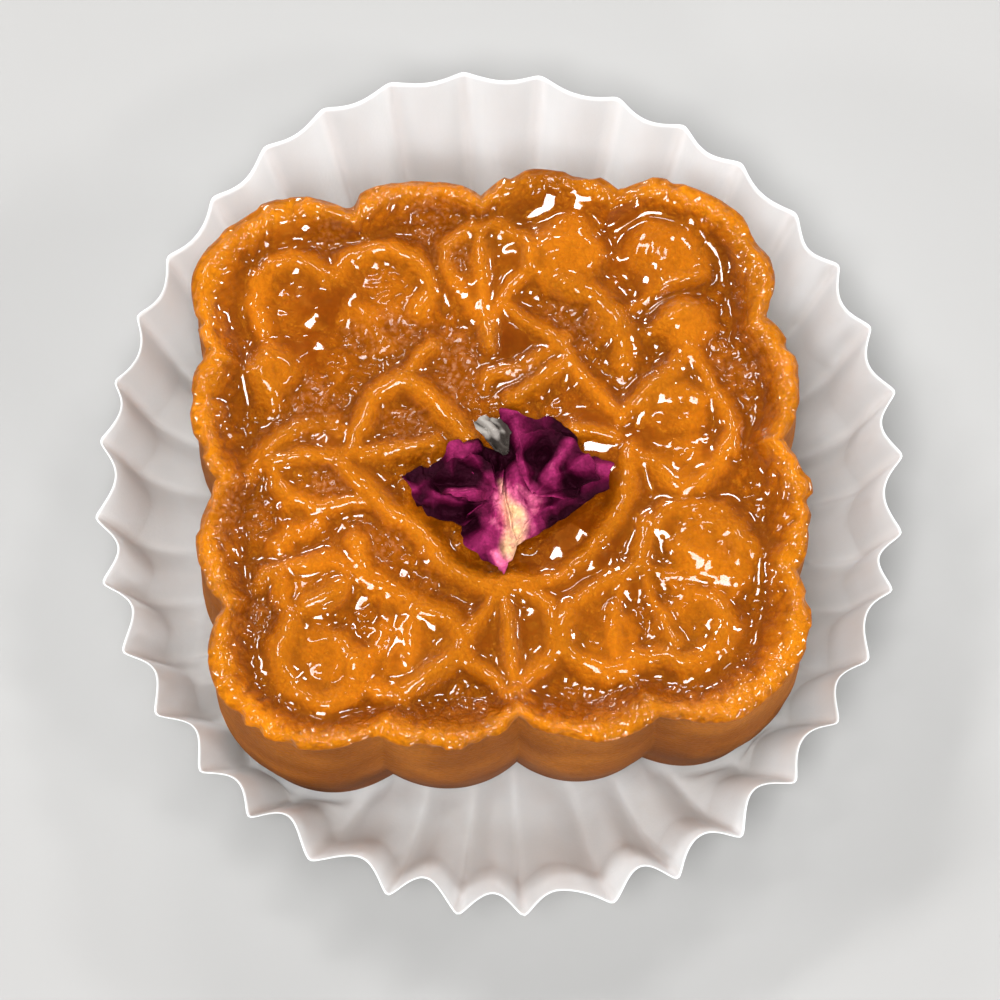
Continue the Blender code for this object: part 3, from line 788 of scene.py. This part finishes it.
# Rim crumbs: partly their baked colour, partly painted light on the crest.
CRUST_RIM = (0.62, 0.195, 0.003, 1.0)
CRUST_WALL_PALE = (0.41, 0.13, 0.016, 1.0)
CRUST_WALL = (0.325, 0.092, 0.01, 1.0)
CRUST_BASE = (0.17, 0.042, 0.006, 1.0)
SYRUP_DEEP = (0.15, 0.026, 0.0005, 1.0)
SPECK_DARK = (0.16, 0.035, 0.004, 1.0)
SYRUP_TINT = (1.0, 0.40, 0.02, 1.0)


def crust_finish(tree):
    """Hollow, mean and high colours by height, painted shade in the hollows and painted light on the tops,
    pulled to the channel's and the relief's own. Over them go the rim's crumbs, partly baked colour and
    partly painted light, the pits as painted shade with the crumb tops as painted light, syrup, dust, the
    wall, darker towards its base, and last the speckle of the grains. The coat is the wet film."""
    film, dry, height, pits, rim, wall, pressed, pool, base = (
        attribute(tree, title)
        for title in ("film", "dry", "height", "pits", "rim", "wall", "pressed", "pool", "base")
    )
    fine, coarse, slow = grain(tree, 0.00042), grain(tree, 0.0014), grain(tree, 0.0014, "Patches")
    channel = remap(tree, calculate(tree, "MAXIMUM", pressed, rim), 0.0, 0.7, 0.65, 0.0)
    crumbly = remap(tree, calculate(tree, "MULTIPLY_ADD", coarse, 0.8, rim), 1.15, 1.75, 0.0, 0.9)
    dusty = blend_colour(tree, remap(tree, fine, 0.7, 1.05), CRUST_DARK_AND_SHADE, CRUST_DRY)
    baked = blend_colour(tree, remap(tree, slow, 0.40, 0.62), CRUST_WALL, CRUST_WALL_PALE)
    # The wall darkens towards its base.
    baked = blend_colour(tree, calculate(tree, "MULTIPLY", base, 0.75), baked, CRUST_BASE)
    colour = layered(tree, CRUST_DARK_AND_SHADE, (
        # By height: painted shade in the hollows, painted light on the tops; then the channel darkened.
        (remap(tree, height, -0.55, 0.05), CRUST_MEAN),
        (remap(tree, height, 0.0, 1.0), CRUST_BRIGHT_AND_LIT),
        (channel, CRUST_DARK_AND_SHADE),
        (calculate(tree, "MULTIPLY", pressed, 0.50), CRUST_BRIGHT_AND_LIT),
        # The rim's crumbs brighter: partly their baked colour, partly painted light on the crest.
        (calculate(tree, "MULTIPLY", crumbly, remap(tree, rim, 0.1, 0.7)), CRUST_RIM),
        # Painted shade in the pits between crumbs, painted light on the crumb tops.
        (remap(tree, pits, -0.9, 0.0, 0.50, 0.0), CRUST_PIT_SHADE),
        (remap(tree, pits, 0.1, 0.9, 0.0, 0.35), CRUST_BRIGHT_AND_LIT),
        (remap(tree, film, 0.25, 1.0, 0.0, 0.55), SYRUP_DEEP),
        (pool, SYRUP_DEEP),
        (remap(tree, dry, 0.1, 0.9, 0.0, 0.90), dusty),
        (wall, baked),
    ))
    mottle, speckle = remap(tree, slow, 0.35, 0.65, 0.85, 1.10), remap(tree, fine, 0.55, 1.15, 0.86, 1.12)
    colour = speckled(tree, colour, 1.0, calculate(tree, "MULTIPLY", mottle, speckle))
    bare = remap(tree, dry, 0.2, 0.9, 1.0, 0.10)
    wet = calculate(tree, "MULTIPLY", remap(tree, film, 0.0, 0.15, 0.50, 1.0), bare)
    smoothed = remap(tree, film, 0.0, 0.6, 1.0, 0.10)
    return {
        "Base Color": blend_colour(tree, remap(tree, coarse, 1.02, 1.12, 0.0, 0.45), colour, SPECK_DARK),
        "Coat Weight": calculate(tree, "MULTIPLY", calculate(tree, "SUBTRACT", 1.0, wall), wet),
        "Coat Roughness": 0.04,
        "Coat IOR": 1.45,
        "Roughness": remap(tree, calculate(tree, "MAXIMUM", dry, wall), 0.1, 0.8, 0.30, 0.70),
        "Specular IOR Level": 0.35,
        "Specular Tint": SYRUP_TINT,
        "Subsurface Weight": 0.15,
        "Subsurface Radius": (1.0, 0.35, 0.08),
        "Subsurface Scale": 0.0008,
        "Normal": bumped(tree, calculate(tree, "MULTIPLY", fine, smoothed), 0.00014),
    }


crust_look = material("glazed_crust", crust_finish)
pastry = piece_from("pressed_crust", pastry_points, pastry_faces, crust_look, pastry_masks)
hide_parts("makroud")
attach(pastry, "root")

# %% [markdown]
# ## The paper case
#
# A baking case is one disc of paper whose border is pressed into pleats. It could be built by bending a
# strip, but one surface of two parameters is simpler: the angle round the case, and the way along a profile
# that runs over the floor, round the fold and up the leaning wall. Each pleat pushes that profile inwards
# along its own normal, so the pleats run straight down the wall and die out under the pastry. Their outer
# creases are sharp and their inner hollows round, which the size of a sine gives. A Solidify modifier then
# makes the sheet as thick as baking paper.

# %% The profile of the case
CASE_BASE_RADIUS = 28.45
CASE_RIM_RADII = (31.4, 34.2)
CASE_HEIGHT = 14.0
FOLD_HEIGHTS = (0.7, 4.8)
FLOOR_STEPS, FOLD_STEPS, WALL_STEPS = 12, 8, 22


def case_profile(angle):
    """Radius and height of each row at each angle, how far out the pastry sits and how high the fold ends.
    Rows run along the floor, round the fold, which is a parabola, and up the leaning wall. The fold is
    wide at the pastry's sides and tight where its corners press the paper down."""
    across, along = CASE_RIM_RADII
    rim = 1.0 / np.hypot(np.cos(angle) / across, np.sin(angle) / along) + 0.25 * np.sin(4.0 * angle + 0.6)
    lean = (rim + 0.93 - CASE_BASE_RADIUS) / CASE_HEIGHT
    under = (outline(angle) - BASE_INSET) * np.hypot(np.cos(angle), DEPTH_SHARE * np.sin(angle))
    bend = np.clip(CASE_BASE_RADIUS - 0.1 - under, *FOLD_HEIGHTS)
    floor_way = np.linspace(0.0, 1.0, FLOOR_STEPS)[:, None]
    fold_way = np.linspace(0.0, 1.0, FOLD_STEPS + 1)[1:, None]
    wall_way = np.linspace(0.0, 1.0, WALL_STEPS + 1)[1:, None]
    start, finish = CASE_BASE_RADIUS - bend, CASE_BASE_RADIUS + lean * bend
    turning = CASE_BASE_RADIUS - 0.2 * bend
    fold = (1.0 - fold_way) ** 2 * start + 2.0 * fold_way * (1.0 - fold_way) * turning + fold_way**2 * finish
    wall = mix(bend, CASE_HEIGHT, wall_way)
    radius = np.concatenate([mix(6.0, start, floor_way), fold, CASE_BASE_RADIUS + lean * wall])
    z = np.concatenate([np.zeros((FLOOR_STEPS, angle.size)), fold_way**2 * bend, wall])
    return radius, z, under, bend


# %% The pleats
WAVE_RING = 9.0
FLUTES = 36
FLUTE_POINTS = 24
PLEAT_ROUNDING = 0.20
WALL_PLEAT = 0.62
WAIST = 0.6


def case_surface():
    """Points by row and angle, with the share of the way up and the crease mask at each. A pleat pushes the
    profile inwards along its own normal by depth * (1 - pleat), where the pleat is 1 on a crease and follows
    the rounded size of a sine. Pleats are shallow at the back, deep in front and flat under the pastry.
    Waves on a small ring make each pleat a little different from the next."""
    count = FLUTES * FLUTE_POINTS
    angle = 2.0 * math.pi * np.arange(count)[None, :] / count
    ring = to_points(WAVE_RING * np.cos(angle), WAVE_RING * np.sin(angle))
    radius, z, under, bend = case_profile(angle)
    up = z / CASE_HEIGHT
    turn = FLUTES * angle + 0.75 * waves(ring, 1.7, 61)
    pleat = 1.0 - 2.0 * (np.hypot(np.sin(turn / 2.0), PLEAT_ROUNDING) - PLEAT_ROUNDING) ** 0.95
    rim_depth = (0.90 - 0.30 * np.sin(angle)) * (1.0 + 0.20 * waves(ring, 1.1, 62))
    clear = smooth((radius + 2.0 * z - under - 0.2) / 1.9)
    depth = mix(np.minimum(WALL_PLEAT, 0.5 * bend), rim_depth, up**0.8) * clear
    run, rise = np.gradient(radius, axis=0), np.gradient(z, axis=0)
    push = depth * (1.0 - pleat) / np.hypot(run, rise)
    radius = radius - push * rise - WAIST * up * (1.0 - up) * (0.6 + 0.4 * waves(ring, 2.3, 63))
    z = z + push * run

    # Slow bends of the wall, the uneven cut edge and the cockled floor.
    sheet = to_points(radius * np.cos(angle), radius * np.sin(angle), z)
    radius = radius + 0.22 * waves(sheet, 6.0, 64) * up
    z = z + 0.10 + up * (0.35 * np.sin(3.0 * angle + 1.0) + 0.15 * waves(ring, 1.4, 65))
    z = z + 0.10 * (1.0 - up) * waves(sheet, 5.0, 66)
    points = to_points(radius * np.cos(angle), radius * np.sin(angle), np.maximum(z, 0.06))
    return points, {"up": up, "crease": np.broadcast_to(smooth((pleat - 0.3) / 0.7), up.shape)}


case_points, case_masks = case_surface()
case_index = np.arange(case_points.shape[0] * case_points.shape[1]).reshape(case_points.shape[:2])
case_faces = quads(case_index, closed=True)[:, ::-1].tolist()
case_faces.append(case_index[0].tolist())
print("flute every", round(2.0 * math.pi * sum(CASE_RIM_RADII) / 2.0 / FLUTES, 1), "mm at the rim")

# %% [markdown]
# Paper is matt and a little see-through, so light bleeds through its thin edges. Subsurface scattering over
# less than a millimetre gives that soft white without a second shader. Its fibres are a very fine noise. Low
# on the case, near the pastry, the paper is painted darker and warmer in patches, as painted shade and warm
# bounce from the pastry, and its outer creases are painted whiter as painted highlight.

# %% The paper material
CASE_PAPER = 0.08
PAPER_WHITE = (0.74, 0.785, 0.805, 1.0)
PAPER_CREASE_HIGHLIGHT = (0.91, 0.935, 0.945, 1.0)
PAPER_FOOT_SHADE = (0.545, 0.495, 0.45, 1.0)


def paper_finish(tree):
    """White, whiter on the creases as painted highlight, with painted shade and warm bounce at the foot, in
    patches.
    """
    # The outer creases are painted whiter, as painted highlight.
    crease = remap(tree, attribute(tree, "crease"), 0.0, 1.0, 0.0, 0.6)
    colour = blend_colour(tree, crease, PAPER_WHITE, PAPER_CREASE_HIGHLIGHT)
    low = remap(tree, attribute(tree, "up"), 0.0, 0.60, 1.0, 0.0)
    # Painted shade and warm bounce low on the case, in patches.
    foot_shade = calculate(tree, "MULTIPLY", low, remap(tree, grain(tree, 0.006), 0.5, 1.1, 0.45, 0.75))
    return {
        "Base Color": blend_colour(tree, foot_shade, colour, PAPER_FOOT_SHADE),
        "Roughness": 0.62,
        "Subsurface Weight": 0.70,
        "Subsurface Radius": (1.0, 0.95, 0.9),
        "Subsurface Scale": 0.0006,
        "Normal": bumped(tree, grain(tree, 0.00035), 0.00003, 0.35),
    }


def thicken(piece, thickness):
    """Solidify, by the same amount to both sides of the faces."""
    wall = piece.modifiers.new("thickness", "SOLIDIFY")
    wall.thickness = thickness * MM
    wall.offset = 0.0
    wall.use_quality_normals = True


paper_look = material("white_paper", paper_finish)
case = piece_from("pleated_paper_case", case_points, case_faces, paper_look, case_masks)
thicken(case, CASE_PAPER)
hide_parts("paper_case")
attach(case, "root")

# %% [markdown]
# ## The dried rose
#
# Torn petals of a dried rose lie on the wheel. A petal is a fan: one parameter runs along its outer edge,
# which is a chain of places, and the other from its narrow foot out to that edge. Drying folds it, so creases
# run from the foot outwards and grow towards the edge, and fine crumples cover it. Near its foot a petal is
# cream, then pink, then purple; in the folds painted shade makes it almost black, and on the crests painted
# highlight makes it magenta. Some solids stand for two overlapping sheets, which share a mesh.

# %% Sheets of the rose
PETAL_GRID = (64, 120)
ROSE_SHEET = 0.10
ROSE_LOW = PASTRY_TOP - RIM_FALL + 1.07

# Foot and edge: places. Lift: height of the sheet. Ruffle, folds and phase: height, number and turn of the
# folds that run out from the foot. Curl: rise of the edge.
RIGHT_UNDER = dict(
    foot=(0.4, -7.3), lift=0.10, ruffle=0.45, folds=17.0, phase=0.8, curl=0.0, seed=71,
    edge=((-0.7, -1.0), (-0.8, 0.5), (-0.1, 2.0), (0.4, 4.3), (1.4, 3.7), (3.2, 3.2), (4.5, 3.3), (5.5, 2.4),
          (6.3, 1.5), (6.2, 0.6), (7.4, -0.4), (8.9, -1.3), (8.4, -2.1), (8.2, -3.0), (7.2, -3.3),
          (6.3, -3.8), (5.3, -4.6), (4.4, -5.1), (3.5, -5.3), (2.3, -5.1), (1.6, -6.0)),
)
RIGHT_OVER = dict(
    foot=(2.4, -3.3), lift=0.85, ruffle=0.50, folds=13.0, phase=2.6, curl=1.2, seed=76,
    edge=((0.9, -0.4), (1.7, 1.2), (3.1, 1.8), (4.4, 1.7), (5.7, 0.7), (6.9, -0.8), (7.7, -2.5), (6.3, -3.1),
          (4.7, -4.1)),
)
LEFT_UNDER = dict(
    foot=(-0.2, -3.5), lift=0.30, ruffle=0.45, folds=17.0, phase=0.4, curl=0.0, seed=81,
    edge=((0.3, -0.6), (-0.6, 0.9), (-1.8, 1.8), (-2.9, 1.7), (-3.9, 1.2), (-4.8, 0.2), (-5.7, -0.2),
          (-7.1, -0.3), (-7.9, -0.9), (-7.2, -2.1), (-6.9, -3.3), (-5.8, -4.1), (-4.5, -4.4), (-3.2, -5.0)),
)
LEFT_OVER = dict(
    foot=(-0.5, -2.6), lift=1.05, ruffle=0.38, folds=11.0, phase=1.9, curl=0.8, seed=86,
    edge=((-0.7, -0.7), (-2.2, 0.3), (-4.0, -0.3), (-5.4, -1.6), (-4.8, -3.0), (-3.1, -3.6), (-2.0, -3.9)),
)
FRONT = dict(
    foot=(0.1, -2.6), lift=0.30, ruffle=0.40, folds=13.0, phase=3.4, curl=-0.2, seed=91,
    edge=((-2.5, -4.1), (-3.5, -4.7), (-3.6, -6.1), (-3.3, -6.8), (-2.3, -7.6), (-1.2, -8.4), (-0.4, -9.3),
          (0.2, -8.2), (0.5, -7.1), (0.6, -5.5)),
)
SCRAP = dict(
    foot=(0.7, 0.3), lift=1.7, ruffle=0.28, folds=9.0, phase=1.0, curl=-0.2, seed=101,
    edge=((0.1, 0.3), (-0.7, 0.8), (-1.5, 1.7), (-1.7, 2.9), (-0.8, 3.3), (0.5, 3.1), (0.9, 1.9)),
)
PETALS = {
    "rose_petal_right": (RIGHT_UNDER, RIGHT_OVER),
    "rose_petal_left": (LEFT_UNDER, LEFT_OVER),
    "rose_petal_front": (FRONT,),
}

# Folds: height (below zero for a crease), half width and places. Blushes: strength, half width and places.
FOLDS = (
    (0.60, 0.50, ((3.5, -2.0), (4.4, -0.9), (5.4, 0.4))),
    (0.50, 0.50, ((-3.9, -2.8), (-2.4, -2.7))),
    (0.45, 0.60, ((-3.7, 1.1), (-1.9, 1.2))),
    (0.30, 0.40, ((0.1, 4.0), (1.4, 3.7))),
    (0.35, 0.50, ((-1.6, -6.2), (-0.4, -8.6))),
    (-0.70, 0.65, ((2.2, -0.2), (3.9, -0.1))),
    (-0.70, 0.60, ((4.8, -1.4), (5.9, -3.0))),
    (-0.60, 0.50, ((-5.2, -2.0), (-2.3, -2.1))),
    (-0.60, 0.55, ((-1.6, -1.2), (-1.1, -3.7))),
    (-0.70, 0.45, ((0.8, 2.9), (1.0, 0.5), (-0.1, -0.6))),
    (-0.50, 0.60, ((-7.1, -3.1), (-6.3, -2.2))),
    (-0.45, 0.20, ((-1.5, 2.9), (-0.7, 1.9), (-0.3, 0.8))),
    (-0.40, 0.18, ((-0.6, 3.2), (0.0, 2.2), (0.5, 1.0))),
    (-0.40, 0.20, ((-1.5, 1.5), (-0.6, 1.2), (0.4, 0.5))),
)
CLAW = ((-0.1, -1.9), (0.3, -3.4), (0.9, -4.5), (0.9, -5.7), (0.4, -7.3))
BLUSHES = (
    (1.1, 1.8, CLAW[1:4]),
    (0.9, 0.9, ((1.4, -2.7), (2.5, -3.5), (2.0, -4.6))),
    (0.8, 0.7, ((-1.2, -4.8), (-0.2, -5.6))),
    (1.0, 0.55, ((-0.9, -7.6), (-0.4, -9.0), (0.1, -8.0), (0.4, -7.0))),
    (0.6, 0.50, FOLDS[0][2]),
    (0.6, 0.45, FOLDS[1][2]),
    (0.5, 0.50, FOLDS[2][2]),
)


def folded(points, size, seed):
    """Crumpled paper: 1 minus 2.4 times the size of the waves, so that crests are sharp and valleys round."""
    return 1.0 - 2.4 * np.abs(waves(points, size, seed))


def torn(points, seed):
    """How far a torn edge strays: slow waves + fine waves."""
    return 0.30 * waves(points, 1.3, seed) + 0.20 * waves(points, 0.5, seed + 1)


def sheet_surface(foot, edge, lift, ruffle, folds, phase, curl, seed):
    """Points and masks of a sheet. Place = foot + way * (edge - foot), torn at the edge. Height = lift +
    sharp folds that run out from the foot + crumples + listed folds + curl * way squared."""
    rows, columns = PETAL_GRID
    edge = np.array(edge)
    along = np.concatenate([[0.0], np.cumsum(np.hypot(*np.diff(edge, axis=0).T))])
    side = np.linspace(0.0, 1.0, columns)[None, :]
    rim = [np.interp(side * along[-1], along, edge[:, k]) for k in (0, 1)]
    way = np.linspace(0.05, 1.0, rows)[:, None]
    x, y = (foot[k] + way * (rim[k] - foot[k]) for k in (0, 1))
    flat = to_points(x, y, 0.37 * seed)
    fold = 1.0 - 2.0 * np.abs(np.sin(0.5 * folds * side + phase + 0.7 * waves(flat, 3.0, seed + 5)))
    crumple = 0.38 * folded(flat, 2.7, seed) + 0.19 * folded(flat, 1.2, seed + 1)
    crumple = crumple + 0.05 * waves(flat, 0.5, seed + 2)
    listed = sum(rise * np.exp(-((to_stroke(x, y, stroke) / half) ** 2)) for rise, half, stroke in FOLDS)
    shape = ruffle * fold * smooth(way / 0.55) + crumple * smooth(way / 0.3) + listed
    z = ROSE_LOW + lift + 0.75 * ruffle + shape + curl * way**2
    border = smooth((way - 0.7) / 0.3)
    x = x + torn(flat, seed + 3) * border
    y = y + torn(flat, seed + 6) * border
    cream = smooth((mix(0.45, 1.25, smooth((-y - 2.0) / 3.0)) - to_stroke(x, y, CLAW)) / 1.0)
    blush = np.maximum.reduce([
        strength * np.exp(-((to_stroke(x, y, stroke) / half) ** 2)) for strength, half, stroke in BLUSHES
    ])
    # Masks for painted shade in the low places of the folds and painted highlight on the raised ones.
    masks = {"fold_shade": np.clip(0.55 - 1.4 * shape, 0.0, 1.0), "crest": np.clip(1.3 * shape - 0.25, 0.0, 1.0)}
    return to_points(x, y, z), {**masks, "blush": blush, "cream": cream}


# %% Petal and sepal materials
# The darkest petal colour is painted shade in the folds.
PETAL_FOLD_SHADE = (0.012, 0.0004, 0.0035, 1.0)
PETAL_PURPLE = (0.095, 0.003, 0.03, 1.0)
PETAL_MAGENTA = (0.3, 0.02, 0.105, 1.0)
PETAL_PINK = (0.78, 0.16, 0.31, 1.0)
PETAL_CREAM = (0.84, 0.55, 0.28, 1.0)
PETAL_TINT = (1.0, 0.25, 0.5, 1.0)
SEPAL_GREY = (0.29, 0.265, 0.24, 1.0)
# Painted shade in the scrap's folds.
SEPAL_FOLD_SHADE = (0.035, 0.026, 0.02, 1.0)


def petal_finish(tree):
    """Purple, with painted shade darker in hollows and painted highlight redder on crests, then the blush in
    two steps and the veined foot.
    """
    fold_shade, crest, blush, cream = (attribute(tree, title) for title in ("fold_shade", "crest", "blush", "cream"))
    fine, streaks = grain(tree, 0.0003), grain(tree, 0.0009)
    blotchy = calculate(tree, "MULTIPLY", blush, remap(tree, streaks, 0.6, 1.0, 0.65, 1.15))
    colour = layered(tree, PETAL_PURPLE, (
        # Painted shade almost black in the hollows, painted highlight in magenta on the crests.
        (remap(tree, fold_shade, 0.15, 0.85), PETAL_FOLD_SHADE),
        (remap(tree, crest, 0.0, 0.7, 0.0, 0.85), PETAL_MAGENTA),
        (remap(tree, blotchy, 0.1, 0.6), PETAL_MAGENTA),
        (remap(tree, blotchy, 0.5, 1.0), PETAL_PINK),
        (calculate(tree, "MULTIPLY", cream, remap(tree, streaks, 0.5, 0.9, 0.5, 1.1)), PETAL_CREAM),
    ))
    return {
        "Base Color": speckled(tree, colour, 0.8, remap(tree, fine, 0.5, 1.2, 0.55, 1.35)),
        "Roughness": 0.60,
        "Specular IOR Level": 0.15,
        "Specular Tint": PETAL_TINT,
        "Normal": bumped(tree, fine, 0.00010, 0.8),
    }


def sepal_finish(tree):
    """Grey, with painted shade almost black in the hollows."""
    fold_shade = remap(tree, attribute(tree, "fold_shade"), 0.30, 0.80)
    return {
        "Base Color": blend_colour(tree, fold_shade, SEPAL_GREY, SEPAL_FOLD_SHADE),
        "Roughness": 0.8,
        "Normal": bumped(tree, grain(tree, 0.0006), 0.0001),
    }


# %% The pieces of the rose


def add_petal(solid, sheets, look):
    """Builds a solid's sheets in one mesh, gives them their thickness and lets them stand for the solid."""
    points, faces, masks = [], [], []
    for number, shape in enumerate(sheets):
        made, mask = sheet_surface(**shape)
        table = np.arange(PETAL_GRID[0] * PETAL_GRID[1]).reshape(PETAL_GRID)
        points.append(made.reshape(-1, 3))
        faces += (quads(table) + number * table.size).tolist()
        masks.append(mask)
    joined = {title: np.concatenate([mask[title].ravel() for mask in masks]) for title in masks[0]}
    made = piece_from("dried_" + solid, np.concatenate(points), faces, look, joined)
    thicken(made, ROSE_SHEET)
    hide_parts(solid)
    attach(made, "root")


petal_look = material("dried_petal", petal_finish)
for solid, sheets in PETALS.items():
    add_petal(solid, sheets, petal_look)
add_petal("rose_sepal", (SCRAP,), material("dried_sepal", sepal_finish))
